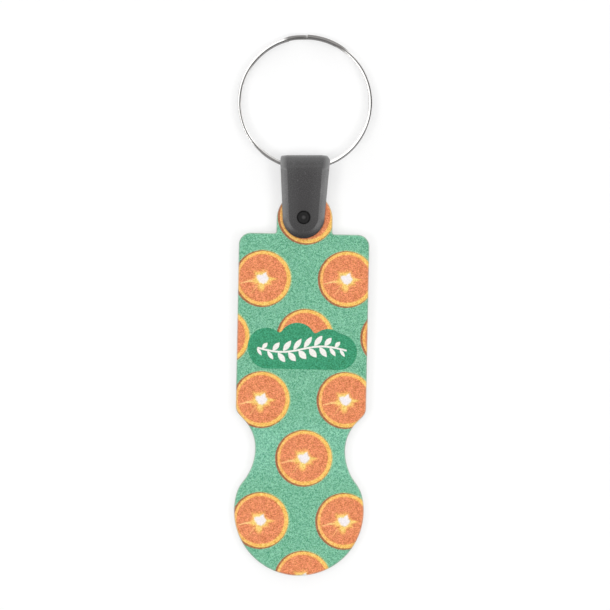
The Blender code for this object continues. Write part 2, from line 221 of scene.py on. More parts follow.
def plate_outline():
    """The plate's edge, anticlockwise from the bottom of the coin end."""
    half_body = BODY_WIDTH / 2
    half_waist = WAIST_WIDTH / 2
    coin_radius = COIN_DIAMETER / 2
    upper = (half_waist + WAIST_UPPER_RADIUS, WAIST_Y)
    cut_radius = coin_radius - WAIST_CUT_DEPTH
    lower_radius = (half_waist**2 + WAIST_Y**2 - cut_radius**2) / (2 * (cut_radius - half_waist))
    lower = (half_waist + lower_radius, WAIST_Y)
    to_lower = math.hypot(*lower)
    to_blend = coin_radius - COIN_BLEND_RADIUS
    between = lower_radius + COIN_BLEND_RADIUS
    cosine = (to_blend**2 + to_lower**2 - between**2) / (2 * to_blend * to_lower)
    blend_deg = direction_deg((0, 0), lower) - math.degrees(math.acos(cosine))
    blend = (to_blend * math.cos(math.radians(blend_deg)), to_blend * math.sin(math.radians(blend_deg)))
    slope = math.radians(RAMP_DEG)
    ramp_start = (
        upper[0] - WAIST_UPPER_RADIUS * math.cos(slope),
        upper[1] + WAIST_UPPER_RADIUS * math.sin(slope),
    )
    corner_x = half_body - BODY_CORNER_RADIUS
    ramp_run = corner_x + BODY_CORNER_RADIUS * math.cos(slope) - ramp_start[0]
    corner_y = ramp_start[1] + ramp_run / math.tan(slope) + BODY_CORNER_RADIUS * math.sin(slope)

    half = arc((0, 0), coin_radius, -90, blend_deg)
    half += arc(blend, COIN_BLEND_RADIUS, blend_deg, direction_deg(blend, lower))
    half += arc(lower, lower_radius, direction_deg(lower, blend) + 360, 180)
    half += arc(upper, WAIST_UPPER_RADIUS, 180, 180 - RAMP_DEG)
    half += arc((corner_x, corner_y), BODY_CORNER_RADIUS, -RAMP_DEG, 0)
    half += arc((corner_x, SHOULDER_Y - BODY_CORNER_RADIUS), BODY_CORNER_RADIUS, 0, 90)
    fillet = (TAB_RADIUS + TAB_FILLET_RADIUS, SHOULDER_Y + TAB_FILLET_RADIUS)
    half += arc(fillet, TAB_FILLET_RADIUS, 270, 180, FILLET_STEP_DEG)
    half += arc((0, TAB_Y), TAB_RADIUS, 0, 90)
    mirrored = [(-x, y) for x, y in reversed(half)]
    return without_repeats(half + mirrored)


def flat_curve(name, outlines):
    curve = bpy.data.curves.new(name, "CURVE")
    curve.dimensions = "2D"
    curve.fill_mode = "BOTH"
    for outline in outlines:
        spline = curve.splines.new("POLY")
        spline.points.add(len(outline) - 1)
        for point, (x, y) in zip(spline.points, outline):
            point.co = (x, y, 0, 1)
        spline.use_cyclic_u = True
    return curve


def mesh_of(obj, name):
    """The object's evaluated mesh, merged and with faces outwards. The object itself is removed."""
    depsgraph = bpy.context.evaluated_depsgraph_get()
    mesh = bpy.data.meshes.new_from_object(obj.evaluated_get(depsgraph))
    mesh.name = name
    bpy.data.objects.remove(obj, do_unlink=True)
    bm = bmesh.new()
    bm.from_mesh(mesh)
    bmesh.ops.remove_doubles(bm, verts=bm.verts, dist=MERGE_DISTANCE)
    bmesh.ops.recalc_face_normals(bm, faces=bm.faces)
    bm.to_mesh(mesh)
    bm.free()
    return mesh


def shown(name, data):
    obj = bpy.data.objects.new(name, data)
    bpy.context.scene.collection.objects.link(obj)
    return obj


def finished_piece(name, mesh, material, matrix, smooth_deg):
    """A piece at the origin with its place in its mesh, shaded smooth but for its real edges."""
    mesh.transform(matrix)
    mesh.materials.clear()
    mesh.materials.append(material)
    mesh.shade_smooth()
    mesh.set_sharp_from_angle(angle=math.radians(smooth_deg))
    piece = shown(name, mesh)
    weighted = piece.modifiers.new("even_normals", "WEIGHTED_NORMAL")
    weighted.keep_sharp = True
    weighted.weight = 100
    return piece


def plate_mesh():
    """The flat plate with its rounded edges, and the stud's hole through the tab."""
    hole = arc((0, TAB_Y), PLATE_HOLE_DIAMETER / 2, 360, 0, PLATE_HOLE_STEP_DEG)[:-1]
    curve = flat_curve("plate_form", [plate_outline(), hole])
    curve.extrude = PLATE_THICKNESS / 2 - PLATE_EDGE_RADIUS
    curve.bevel_depth = PLATE_EDGE_RADIUS
    curve.bevel_resolution = 4
    curve.offset = -PLATE_EDGE_RADIUS
    return mesh_of(shown("plate_form", curve), "coin_plate_printed")


class StrapPath:
    """The strap's middle surface in side view, by the length along it: 0 is the top of the fold."""

    def __init__(self):
        self.leg_middle = LEG_INNER + STRAP_THICKNESS / 2
        self.fold_radius = CHANNEL_RADIUS + STRAP_THICKNESS / 2
        reach = self.fold_radius + STRAP_FLARE_RADIUS
        self.flare_turn = math.acos((self.leg_middle + STRAP_FLARE_RADIUS) / reach)
        self.flare_y = CHANNEL_Y - reach * math.sin(self.flare_turn)
        self.fold_length = self.fold_radius * (math.pi / 2 + self.flare_turn)
        self.flare_length = STRAP_FLARE_RADIUS * self.flare_turn
        self.stud_length = self.fold_length + self.flare_length + self.flare_y

    def at(self, length):
        """The point (y, z) and the outward direction (y, z) at this length."""
        side = 1 if length >= 0 else -1
        run = abs(length)
        if run <= self.fold_length:
            turn = run / self.fold_radius
            out = (math.cos(turn), math.sin(turn))
            point = (CHANNEL_Y + self.fold_radius * out[0], self.fold_radius * out[1])
        elif run <= self.fold_length + self.flare_length:
            turn = self.flare_turn - (run - self.fold_length) / STRAP_FLARE_RADIUS
            out = (-math.sin(turn), math.cos(turn))
            point = (
                self.flare_y - STRAP_FLARE_RADIUS * out[0],
                self.leg_middle + STRAP_FLARE_RADIUS - STRAP_FLARE_RADIUS * out[1],
            )
        else:
            out = (0.0, 1.0)
            point = (self.flare_y - (run - self.fold_length - self.flare_length), self.leg_middle)
        return (point[0], side * point[1]), (out[0], side * out[1])

    def creases(self):
        """Lengths where the flat strip needs a line across to bend smoothly."""
        fold_steps = math.ceil(math.degrees(self.fold_length / self.fold_radius) / STRAP_STEP_DEG)
        flare_steps = math.ceil(math.degrees(self.flare_turn) / STRAP_STEP_DEG) + 1
        half = [self.fold_length * i / fold_steps for i in range(1, fold_steps + 1)]
        half += [self.fold_length + self.flare_length * i / flare_steps for i in range(1, flare_steps + 1)]
        return [-s for s in reversed(half)] + [0.0] + half


def flat_strip(path):
    """The unfolded strap as a closed mesh: a round end about each stud centre, and sloped outer edges."""
    half_fold = STRAP_FOLD_WIDTH / 2
    taper = math.degrees(math.asin((half_fold - STRAP_END_RADIUS) / path.stud_length))
    outline = arc((0, path.stud_length), STRAP_END_RADIUS, taper, 180 - taper, STRAP_STEP_DEG)
    outline += [(-half_fold, 0)]
    outline += arc((0, -path.stud_length), STRAP_END_RADIUS, 180 + taper, 360 - taper, STRAP_STEP_DEG)
    outline += [(half_fold, 0)]
    wall = STRAP_THICKNESS - STRAP_BEVEL_DEPTH
    bm = bmesh.new()
    low = bm.faces.new([bm.verts.new((x, y, -wall / 2)) for x, y in without_repeats(outline)])
    risen = bmesh.ops.extrude_face_region(bm, geom=[low])["geom"]
    bmesh.ops.translate(bm, verts=[v for v in risen if isinstance(v, bmesh.types.BMVert)], vec=(0, 0, wall))
    bmesh.ops.recalc_face_normals(bm, faces=bm.faces)
    outer = max(bm.faces, key=lambda face: face.calc_center_median().z)
    bmesh.ops.inset_region(
        bm, faces=[outer], thickness=STRAP_BEVEL_WIDTH, depth=STRAP_BEVEL_DEPTH, use_even_offset=True
    )
    long_edges = [e for e in bm.edges if e.calc_face_angle(0) > math.radians(SOFTENED_EDGE_DEG)]
    bmesh.ops.bevel(
        bm,
        geom=long_edges,
        offset=STRAP_EDGE_SOFTNESS,
        offset_type="OFFSET",
        segments=3,
        profile=0.5,
        affect="EDGES",
        clamp_overlap=True,
    )
    return bm


def smooth_share(value, low, high):
    """0 up to low, 1 from high on, and a smooth rise between them."""
    share = min(max((value - low) / (high - low), 0.0), 1.0)
    return share * share * (3 - 2 * share)


def sideways_shift(x, y, z, fold_radius):
    """How far a point moves to the right: the rear leg leans, and the front leg's right edge follows it."""
    rear = smooth_share(-z, -fold_radius, fold_radius)
    right = min(max(2 * x / STRAP_FOLD_WIDTH, 0.0), 1.0)
    lean = math.tan(math.radians(REAR_LEG_LEAN_DEG)) * y
    cut = FOLD_CORNER_CUT * smooth_share(y, FOLD_CORNER_START, FOLD_CORNER_END)
    return lean * (rear + (1 - rear) * right) - cut * right


def with_faded_bevel(z, length):
    """The height over the strip's middle with most of the bevel's depth filled in near the fold."""
    wall_top = (STRAP_THICKNESS - STRAP_BEVEL_DEPTH) / 2
    lost = (1 - BEVEL_SHARE_AT_FOLD) * (1 - smooth_share(abs(length), 0, STRAP_BEVEL_FADE_LENGTH))
    if z >= wall_top:
        return z + lost * (wall_top + STRAP_BEVEL_DEPTH - z)
    return z + lost * STRAP_BEVEL_DEPTH * max(z / wall_top, 0.0)


def folded_strip_mesh():
    path = StrapPath()
    bm = flat_strip(path)
    for length in path.creases():
        everything = list(bm.verts) + list(bm.edges) + list(bm.faces)
        bmesh.ops.bisect_plane(
            bm, geom=everything, dist=MERGE_DISTANCE, plane_co=(0, length, 0), plane_no=(0, 1, 0)
        )
    lift = (STRAP_THICKNESS - STRAP_BEVEL_DEPTH) / 2 - STRAP_THICKNESS / 2
    for vert in bm.verts:
        height = with_faded_bevel(vert.co.z, vert.co.y) + lift
        (y, z), (out_y, out_z) = path.at(vert.co.y)
        shift = sideways_shift(vert.co.x, y, z, path.fold_radius)
        vert.co = (vert.co.x + shift, y + height * out_y, z + height * out_z)
    bmesh.ops.triangulate(bm, faces=[face for face in bm.faces if len(face.verts) > 4])
    mesh = bpy.data.meshes.new("folded_strip")
    bmesh.ops.recalc_face_normals(bm, faces=bm.faces)
    bm.to_mesh(mesh)
    bm.free()
    return mesh


def turned_mesh(name, profile, steps=64):
    """A solid of revolution about +Z from (radius, height) points listed from the bottom up."""
    bm = bmesh.new()
    verts = [bm.verts.new((radius, 0, height)) for radius, height in profile]
    edges = [bm.edges.new(pair) for pair in zip(verts, verts[1:])]
    bmesh.ops.spin(
        bm, geom=verts + edges, cent=(0, 0, 0), axis=(0, 0, 1), angle=2 * math.pi, steps=steps, use_merge=True
    )
    bmesh.ops.remove_doubles(bm, verts=bm.verts, dist=MERGE_DISTANCE)
    bmesh.ops.recalc_face_normals(bm, faces=bm.faces)
    mesh = bpy.data.meshes.new(name)
    bm.to_mesh(mesh)
    bm.free()
    return mesh


def stud_profile():
    """The stud from its root in the rear leg up to its snapped head, with rounded shoulders and a tip."""
    head_bottom = LEG_INNER + LEG_LIP_THICKNESS + SNAP_CLEARANCE
    head_top = head_bottom + STUD_HEAD_HEIGHT
    shank_top = LEG_INNER - SNAP_CLEARANCE
    neck = STUD_NECK_DIAMETER / 2
    head = STUD_HEAD_DIAMETER / 2
    tip = STUD_TIP_DIAMETER / 2
    profile = [
        (0, -LEG_INNER - STRAP_THICKNESS / 2),
        (STUD_DIAMETER / 2, -LEG_INNER - STRAP_THICKNESS / 2),
        (STUD_DIAMETER / 2, shank_top - SNAP_CLEARANCE),
        (neck, shank_top),
        (neck, head_bottom),
    ]
    shoulder = (head - STUD_SHOULDER_RADIUS, head_bottom + STUD_SHOULDER_RADIUS)
    profile += arc(shoulder, STUD_SHOULDER_RADIUS, -20, 70, 15)
    dome_run = head - STUD_DOME_INSET - tip
    for i in range(STUD_DOME_STEPS + 1):
        share = i / STUD_DOME_STEPS
        rise = STUD_DOME_HEIGHT * share * share
        profile.append((tip + dome_run * (1 - share), head_top - STUD_DOME_HEIGHT + rise))
    profile.append((0, head_top))
    return profile


def strap_mesh():
    """The folded strip with the hole in its front leg, and the stud joined to its rear leg."""
    strap = shown("strap_form", folded_strip_mesh())
    lip_top = LEG_INNER + LEG_LIP_THICKNESS
    lip_radius = LIP_HOLE_DIAMETER / 2
    hole_radius = HEAD_HOLE_DIAMETER / 2
    top = LEG_INNER + STRAP_THICKNESS
    hole_profile = [
        (0, LEG_INNER - STRAP_THICKNESS),
        (lip_radius, LEG_INNER - STRAP_THICKNESS),
        (lip_radius, lip_top),
        (hole_radius, lip_top),
        *[(hole_radius + outwards, top + up) for outwards, up in HOLE_RIM],
        (hole_radius + HOLE_FLARE, top + STRAP_THICKNESS),
        (0, top + STRAP_THICKNESS),
    ]
    hole = shown("strap_hole", turned_mesh("strap_hole", hole_profile))
    stud = shown("strap_stud", turned_mesh("strap_stud", stud_profile()))
    for operation, tool in (("DIFFERENCE", hole), ("UNION", stud)):
        modifier = strap.modifiers.new(operation.lower(), "BOOLEAN")
        modifier.operation = operation
        modifier.solver = "EXACT"
        modifier.object = tool
    mesh = mesh_of(strap, "folded_strap")
    bpy.data.objects.remove(hole, do_unlink=True)
    bpy.data.objects.remove(stud, do_unlink=True)
    return mesh


# Node trees


class Tree:
    """Short calls that add nodes to one node tree and join them."""

    def __init__(self, tree):
        self.nodes = tree.nodes
        self.links = tree.links

    def add(self, kind, inputs=None, **settings):
        node = self.nodes.new(kind)
        for name, value in settings.items():
            setattr(node, name, value)
        for name, value in (inputs or {}).items():
            self.join(node.inputs[name], value)
        return node

    def join(self, socket, value):
        """Links another socket to this one, or sets its constant value."""
        if isinstance(value, bpy.types.NodeSocket):
            self.links.new(value, socket)
        else:
            socket.default_value = value

    def math(self, operation, *values, clamp=False):
        node = self.add("ShaderNodeMath", operation=operation, use_clamp=clamp)
        for socket, value in zip(node.inputs, values):
            self.join(socket, value)
        return node.outputs[0]

    def vector(self, operation, *values):
        node = self.add("ShaderNodeVectorMath", operation=operation)
        for socket, value in zip(node.inputs, values):
            self.join(socket, value)
        return node.outputs["Value" if operation in ("LENGTH", "DISTANCE", "DOT_PRODUCT") else "Vector"]

    def parts(self, vector):
        return self.add("ShaderNodeSeparateXYZ", {"Vector": vector}).outputs

    def mix(self, factor, first, second):
        node = self.add("ShaderNodeMix", data_type="RGBA")
        for socket, value in ((node.inputs[0], factor), (node.inputs[6], first), (node.inputs[7], second)):
            self.join(socket, value)
        return node.outputs[2]

    def over(self, look, mask, tone, strength=1.0):
        """The look with a screen colour laid over it where the mask is 1, at this strength."""
        return self.mix(self.math("MULTIPLY", mask, strength), look, colour(*tone))

    def noise(self, vector, scale, detail=2.0, roughness=0.5):
        inputs = {"Vector": vector, "Scale": scale, "Detail": detail, "Roughness": roughness}
        return self.add("ShaderNodeTexNoise", inputs).outputs["Fac"]

    def shaken(self, vector, scale, amount, detail=2.0):
        """The vector moved about by noise."""
        inputs = {"Vector": vector, "Scale": scale, "Detail": detail}
        noise = self.add("ShaderNodeTexNoise", inputs).outputs["Color"]
        moves = self.vector("SUBTRACT", noise, (0.5, 0.5, 0.5))
        return self.vector("MULTIPLY_ADD", moves, (amount, amount, 0), vector)

    def spread(self, value, low, high, to_low=0.0, to_high=1.0, smooth=True):
        """value taken from low..high to to_low..to_high, and held at its ends."""
        inputs = {"Value": value, "From Min": low, "From Max": high, "To Min": to_low, "To Max": to_high}
        kind = "SMOOTHSTEP" if smooth else "LINEAR"
        return self.add("ShaderNodeMapRange", inputs, interpolation_type=kind).outputs[0]

    def within(self, distance, radius, softness=0.12):
        """1 inside the radius and 0 outside it, with a soft edge."""
        short = self.math("SUBTRACT", radius, distance)
        return self.spread(short, -softness / 2, softness / 2)

    def by_angle(self, turn, profile, low, high):
        """A value from low to high that follows the angle. turn is 0 to 1 from -180 degrees."""
        node = self.add("ShaderNodeFloatCurve", {"Value": turn})
        curve = node.mapping.curves[0]
        places = sorted(((deg + 180) % 360 / 360, (value - low) / (high - low)) for deg, value in profile)
        wrap = (places[0][1] + places[-1][1]) / 2
        places = [(0.0, wrap)] + places + [(1.0, wrap)]
        for place in places[1:-1]:
            curve.points.new(*place)
        for point, place in zip(curve.points, places):
            point.location = place
            point.handle_type = "VECTOR"
        node.mapping.update()
        return self.math("MULTIPLY_ADD", node.outputs[0], high - low, low)

    def from_line(self, place, start, end):
        """The distance from a straight line between two points, and how far along it that is, from 0 to 1."""
        run = (end[0] - start[0], end[1] - start[1], 0)
        step = self.vector("SUBTRACT", place, (*start, 0))
        along = self.vector("DOT_PRODUCT", step, run)
        share = self.math("DIVIDE", along, run[0] ** 2 + run[1] ** 2, clamp=True)
        return self.vector("DISTANCE", step, self.vector("MULTIPLY", run, share)), share


def new_material(name):
    """A new material's tree, its shader and the material."""
    material = bpy.data.materials.new(name)
    material.use_nodes = True
    return Tree(material.node_tree), material.node_tree.nodes["Principled BSDF"], material


def millimetres(tree, matrix):
    """Object coordinates in millimetres from a piece's own frame."""
    place, turn, _ = matrix.decompose()
    coordinates = tree.add("ShaderNodeTexCoord").outputs["Object"]
    inputs = {"Vector": coordinates, "Location": place, "Rotation": turn.to_euler(), "Scale": (MM, MM, MM)}
    return tree.add("ShaderNodeMapping", inputs, vector_type="TEXTURE").outputs[0]


def set_surface(tree, shader, look, rough, relief, strength, depth):
    """Joins the colour, the roughness and a fine relief, whose depth is in metres, to the shader."""
    bump = tree.add("ShaderNodeBump", {"Strength": strength, "Distance": depth, "Height": relief})
    for name, value in (("Base Color", look), ("Roughness", rough), ("Normal", bump.outputs[0])):
        tree.join(shader.inputs[name], value)


def slice_place(tree, place, origin):
    """Where a point is from the nearest slice of one set of rows."""
    inputs = {
        "Vector": place,
        "Location": (*origin, 0),
        "Rotation": (0, 0, math.radians(REPEAT_TURN_DEG)),
        "Scale": (*REPEAT, 1),
    }
    cells = tree.add("ShaderNodeMapping", inputs, vector_type="TEXTURE").outputs[0]
    shifted = tree.vector("FRACTION", tree.vector("ADD", cells, (0.5, 0.5, 0)))
    centred = tree.vector("SUBTRACT", shifted, (0.5, 0.5, 0))
    return tree.vector("MULTIPLY", centred, (*REPEAT, 0))


def nearest_slice(tree, place):
    """Where a point is from the nearest slice of all."""
    middle = slice_place(tree, place, MIDDLE_ROWS_PLACE)
    side = slice_place(tree, place, SIDE_ROWS_PLACE)
    nearer = tree.math("LESS_THAN", tree.vector("LENGTH", side), tree.vector("LENGTH", middle))
    node = tree.add("ShaderNodeMix", data_type="VECTOR")
    for socket, value in ((node.inputs[0], nearer), (node.inputs[4], middle), (node.inputs[5], side)):
        tree.join(socket, value)
    return node.outputs[1]


# Edges of the slice's middle, as (degrees, millimetres) round it
PITH = [
    (0, 1.08), (25, 0.9), (50, 1.05), (62, 1.3), (80, 0.85), (100, 0.6), (130, 0.82), (158, 1.12),
    (178, 0.96), (205, 0.8), (235, 0.84), (268, 0.85), (282, 0.98), (300, 0.88), (330, 0.93),
]
GLOW = [
    (0, 2.6), (8, 1.55), (25, 1.2), (45, 1.25), (62, 1.6), (80, 1.45), (105, 1.4), (125, 1.6), (140, 2.0),
    (158, 1.45), (177, 1.5), (195, 1.85), (212, 1.8), (228, 1.3), (245, 1.95), (262, 2.35), (275, 2.3),
    (287, 1.45), (308, 1.5), (325, 1.75), (343, 1.55), (353, 2.2),
]
# Fine lines in the flesh: from, to, half widths at both ends, strength, colour
FLESH_LINES = [
    ((-1.2, -0.15), (-3.0, -0.25), 0.09, 0.04, 0.45, (250, 184, 112)),
    ((-1.3, -0.42), (-2.6, -0.52), 0.2, 0.14, 1.0, (255, 200, 122)),
    ((-2.6, -0.52), (-3.9, -0.85), 0.14, 0.1, 0.95, (255, 190, 122)),
    ((-1.05, -1.3), (-1.95, -2.65), 0.12, 0.07, 0.7, (250, 184, 112)),
    ((-0.9, -1.6), (-1.6, -2.65), 0.07, 0.05, 0.4, (196, 112, 66)),
    ((0.55, 1.1), (0.95, 1.75), 0.08, 0.04, 0.45, (250, 190, 112)),
    ((1.15, -0.75), (1.75, -1.15), 0.1, 0.04, 0.5, (252, 190, 108)),
]


def fruit_slices(tree, ground, place):
    """Slices of orange over the ground colour, all alike."""
    local = nearest_slice(tree, place)
    across = tree.parts(local)
    from_middle = tree.vector("LENGTH", local)
    wavy = tree.shaken(local, 0.9, 0.14, 3.0)
    frayed = tree.shaken(local, 2.3, 0.55, 3.0)

    halo = tree.within(tree.vector("DISTANCE", wavy, (0.13, 0.04, 0)), HALO_RADIUS, 0.2)
    look = tree.over(ground, halo, (196, 208, 134), 0.5)
    outer_line = tree.within(tree.vector("DISTANCE", wavy, (-0.04, -0.04, 0)), OUTER_LINE_RADIUS, 0.14)
    look = tree.over(look, outer_line, (166, 86, 44), 0.95)

    peel = tree.spread(tree.noise(local, 1.7, 3.0, 0.65), 0.32, 0.68)
    side = tree.spread(across[0], -4.6, 0.5)
    dull_peel = tree.mix(side, colour(246, 168, 84), colour(247, 184, 84))
    bright_peel = tree.mix(side, colour(254, 200, 108), colour(254, 204, 102))
    rim = tree.within(tree.vector("DISTANCE", wavy, (0.15, 0.03, 0)), PEEL_RADIUS, 0.16)
    look = tree.mix(rim, look, tree.mix(peel, dull_peel, bright_peel))

    turn = tree.math("DIVIDE", tree.math("ARCTAN2", across[1], across[0]), 2 * math.pi)
    turn = tree.math("ADD", turn, 0.5)
    flesh_reach = tree.vector("DISTANCE", tree.shaken(local, 2.3, 0.3, 3.0), (0.04, 0.06, 0))
    blotch = tree.spread(tree.noise(local, 1.1, 3.0, 0.6), 0.32, 0.68)
    flesh = tree.mix(blotch, colour(218, 118, 74), colour(233, 140, 87))
    sac_turn = tree.math("MULTIPLY", turn, 34.0)
    sac_reach = tree.math("MULTIPLY", from_middle, 0.8)
    radial = tree.add("ShaderNodeCombineXYZ", {"X": sac_turn, "Y": sac_reach}).outputs[0]
    sacs = tree.spread(tree.noise(radial, 1.0, 2.0), 0.35, 0.7)
    flesh = tree.over(flesh, sacs, (244, 156, 108), 0.3)
    deep = tree.math("MULTIPLY", tree.within(flesh_reach, DEEP_FLESH_RADIUS, 0.3), 0.65)
    flesh = tree.mix(deep, tree.mix(0.45, flesh, colour(226, 136, 72)), flesh)
    look = tree.mix(tree.within(flesh_reach, FLESH_RADIUS, 0.24), look, flesh)

    lines_place = tree.shaken(local, 2.0, 0.16)
    for start, end, start_width, end_width, strength, tone in FLESH_LINES:
        distance, share = tree.from_line(lines_place, start, end)
        width = tree.math("MULTIPLY_ADD", share, end_width - start_width, start_width)
        mark = tree.within(distance, width, 0.14)
        look = tree.over(look, mark, tone, strength)

    frayed_reach = tree.vector("LENGTH", frayed)
    glow_edge = tree.by_angle(turn, GLOW, 0.0, 4.0)
    warm = tree.within(frayed_reach, glow_edge, 0.9)
    look = tree.over(look, warm, (248, 186, 92), 0.85)
    bright = tree.within(frayed_reach, tree.math("MULTIPLY", glow_edge, 0.8), 0.55)
    look = tree.over(look, bright, (255, 214, 116), 0.8)
    pith_edge = tree.by_angle(turn, PITH, 0.0, 4.0)
    pith = tree.within(tree.vector("LENGTH", tree.shaken(local, 2.6, 0.3)), pith_edge, 0.46)
    return tree.over(look, pith, (243, 235, 236))


def blob(tree, place, x, y, radius):
    """Distance outside a round spot, negative inside it."""
    return tree.math("SUBTRACT", tree.vector("DISTANCE", place, (x, y, 0)), radius)


def leaf_badge(tree, under, place):
    """A dark green cloud-shaped patch with a white sprig of leaves on it."""
    flat = tree.vector("MULTIPLY", place, (1, 1, 0))
    across = tree.parts(flat)
    along = tree.math("MINIMUM", tree.math("MAXIMUM", across[0], BADGE_LEFT), BADGE_RIGHT)
    nearest = tree.add("ShaderNodeCombineXYZ", {"X": along, "Y": BADGE_Y}).outputs[0]
    edge = tree.math("SUBTRACT", tree.vector("DISTANCE", flat, nearest), BADGE_HALF_HEIGHT)
    for x, y, radius in BADGE_PUFFS:
        edge = tree.math("SMOOTH_MIN", edge, blob(tree, flat, x, y, radius), 0.7)
    patch = tree.within(edge, 0.0)
    look = tree.over(under, patch, (34, 146, 102))

    wave = tree.math("SINE", tree.math("MULTIPLY", across[0], STEM_WAVE_RATE))
    stem_y = tree.math("MULTIPLY", wave, STEM_WAVE_HEIGHT)
    above = tree.math("SUBTRACT", tree.math("SUBTRACT", across[1], SPRIG_Y), stem_y)
    past_end = tree.math("SUBTRACT", tree.math("ABSOLUTE", across[0]), STEM_HALF_LENGTH)
    past_end = tree.math("MAXIMUM", past_end, 0.0)
    stem = tree.add("ShaderNodeCombineXYZ", {"X": past_end, "Y": above}).outputs[0]
    marks = tree.within(tree.vector("LENGTH", stem), STEM_HALF_WIDTH)
    for side, shift in LEAF_ROWS:
        steps = tree.math("ADD", tree.math("DIVIDE", across[0], LEAF_SPACING), shift)
        cell = tree.math("FLOOR", steps)
        middle = tree.math("MULTIPLY", tree.math("ADD", cell, 0.5 - shift), LEAF_SPACING)
        from_middle = tree.math("ABSOLUTE", middle)
        size = tree.spread(from_middle, 2.8, 7.6, 1.0, 0.62)
        local_x = tree.math("ADD", tree.math("SUBTRACT", across[0], middle), LEAF_ROOT)
        local_y = tree.math("MULTIPLY", above, side)
        spot = tree.add("ShaderNodeCombineXYZ", {"X": local_x, "Y": local_y}).outputs[0]
        turn = (0, 0, math.radians(LEAF_TURN_DEG))
        turned = tree.add("ShaderNodeMapping", {"Vector": spot, "Rotation": turn}).outputs[0]
        leaf = tree.parts(tree.vector("DIVIDE", turned, size))
        along = tree.math("DIVIDE", tree.math("SUBTRACT", leaf[0], LEAF_MIDDLE), LEAF_HALF_LENGTH)
        roundness = tree.math("SUBTRACT", 1.0, tree.math("MULTIPLY", along, along))
        width = tree.math("MULTIPLY", roundness, LEAF_HALF_WIDTH)
        mark = tree.within(tree.math("ABSOLUTE", leaf[1]), width)
        mark = tree.math("MULTIPLY", mark, tree.math("LESS_THAN", from_middle, LEAVES_HALF_LENGTH))
        marks = tree.math("MAXIMUM", marks, mark)
    return tree.over(look, marks, (240, 238, 232))


def printed_plastic():
    """The print on the front, finely grained, and plain pale plastic on the edges and the back."""
    tree, shader, material = new_material("printed_plastic")
    place = millimetres(tree, plate_matrix())
    height = tree.parts(place)[2]
    ground = tree.mix(tree.noise(place, 0.35, 2.0), colour(104, 175, 140), colour(116, 186, 151))
    off_waist = tree.math("ABSOLUTE", tree.math("SUBTRACT", tree.parts(place)[1], WAIST_Y / MM))
    ground = tree.over(ground, tree.spread(off_waist, 7.0, 2.0), (126, 196, 168), 0.45)
    look = leaf_badge(tree, fruit_slices(tree, ground, place), place)

    specks = tree.add("ShaderNodeTexVoronoi", {"Vector": place, "Scale": 8.0}).outputs["Color"]
    grey_speck = tree.parts(specks)[0]
    speck = tree.vector("SUBTRACT", tree.mix(0.08, grey_speck, specks), (0.5, 0.5, 0.5))
    by_brightness = tree.add("ShaderNodeGamma", {"Color": look, "Gamma": 0.5}).outputs[0]
    paleness = tree.parts(look)[2]
    on_dark = tree.spread(paleness, 0.12, 0.3, 0.5, 0.65)
    strength = tree.math("MULTIPLY", on_dark, tree.spread(paleness, 0.45, 0.75, 1.0, 0.28))
    speck = tree.vector("MULTIPLY", tree.vector("MULTIPLY", speck, by_brightness), strength)
    look = tree.vector("MAXIMUM", tree.vector("ADD", look, speck), (0, 0, 0))
    look = tree.vector("MINIMUM", look, (1, 1, 1))

    fine = tree.noise(place, 3.1, 2.0, 0.8)
    plain = tree.mix(tree.noise(place, 1.3, 3.0), colour(214, 216, 206), colour(226, 227, 219))
    printed = tree.spread(height, 0.8, 1.09, 0.15, 1.0, smooth=False)
    off_back = tree.spread(height, -1.05, -0.7)
    look = tree.mix(tree.math("MULTIPLY", printed, off_back), plain, look)
    rough = tree.spread(fine, 0.3, 0.7, 0.42, 0.55)
    set_surface(tree, shader, look, rough, tree.noise(place, 5.5, 3.0, 0.6), 0.35, 0.00002)
    shader.inputs["Specular IOR Level"].default_value = 0.4
    return material


def strap_edge_distance(tree, across):
    """How far a point of the strap is from its outline, in millimetres."""
    up = tree.math("MAXIMUM", across[1], 0.0)
    slope = (STRAP_FOLD_WIDTH / 2 - STRAP_END_RADIUS) / (CHANNEL_Y + CHANNEL_RADIUS)
    half = tree.math("MULTIPLY_ADD", up, slope, STRAP_END_RADIUS / MM)
    leaning = tree.math("MULTIPLY", up, math.tan(math.radians(REAR_LEG_LEAN_DEG)))
    right = tree.math("GREATER_THAN", across[0], 0.0)
    half = tree.math("MULTIPLY_ADD", leaning, right, half)
    down = tree.math("MINIMUM", across[1], 0.0)
    out = tree.add("ShaderNodeCombineXYZ", {"X": across[0], "Y": down}).outputs[0]
    return tree.math("SUBTRACT", half, tree.vector("LENGTH", out))


